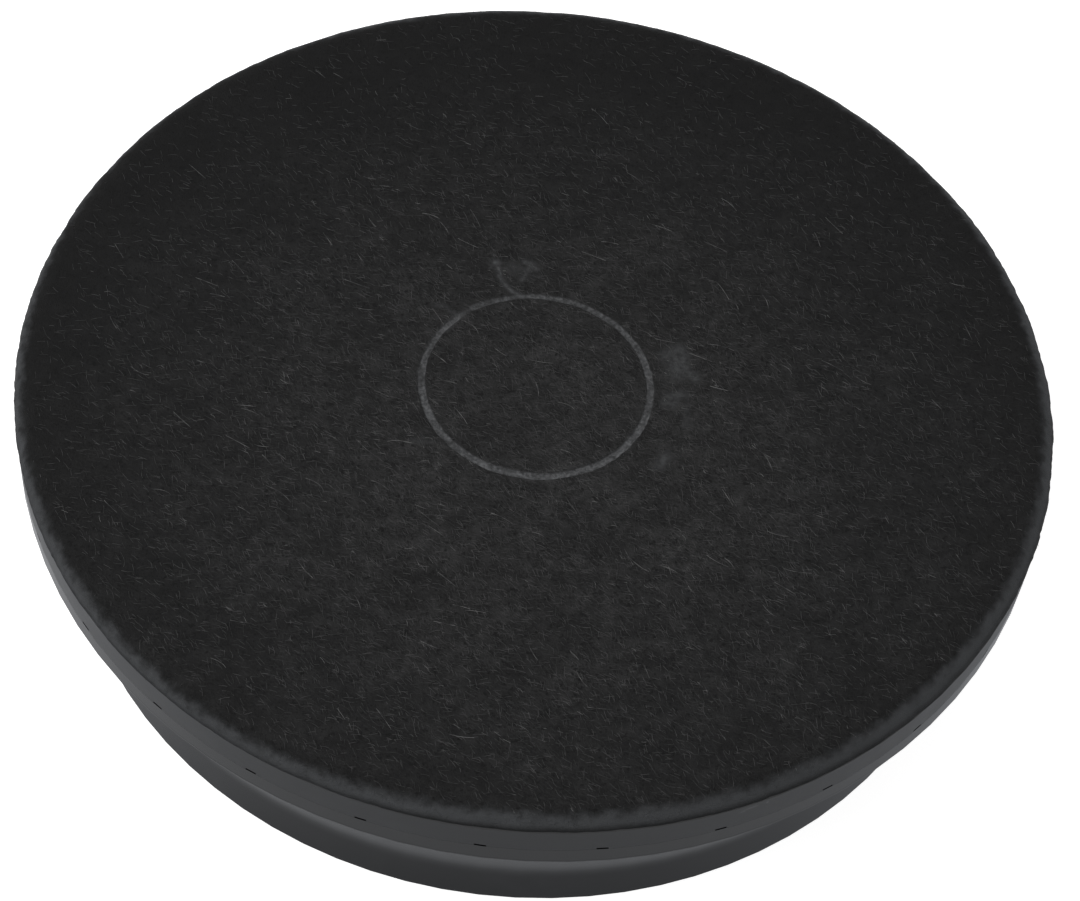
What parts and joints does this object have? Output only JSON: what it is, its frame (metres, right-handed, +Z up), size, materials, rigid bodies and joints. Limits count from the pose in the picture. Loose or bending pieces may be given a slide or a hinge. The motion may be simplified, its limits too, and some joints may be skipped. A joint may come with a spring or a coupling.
{
  "type": "cooker hood carbon filter",
  "caption": "Round cartridge filter for a recirculating cooker hood: felt-faced lid over a bed of granular carbon, in a moulded tray with an open grid floor and a central bayonet hub.",
  "frame": {"origin": "centre of the circle that the foot ring stands on, on the floor plane", "axes": "+Z up along the filter's axis, from the foot ring to the felt; +X is the direction of one long rib of the grid, with the viewer of the picture on the -Y side"},
  "size_m": [0.233, 0.233, 0.05],
  "materials": {
    "tray_plastic": "satin black moulding",
    "lid_plastic": "satin black moulding",
    "felt": "black needle felt with stray fibres",
    "fleece": "thin black fleece",
    "carbon": "dull black carbon granules"
  },
  "bodies": {
    "root": {"tray": "tray_plastic", "lid": "lid_plastic", "top_felt": "felt", "bottom_fleece": "fleece", "carbon_bed": "carbon"}
  },
  "joints": []
}
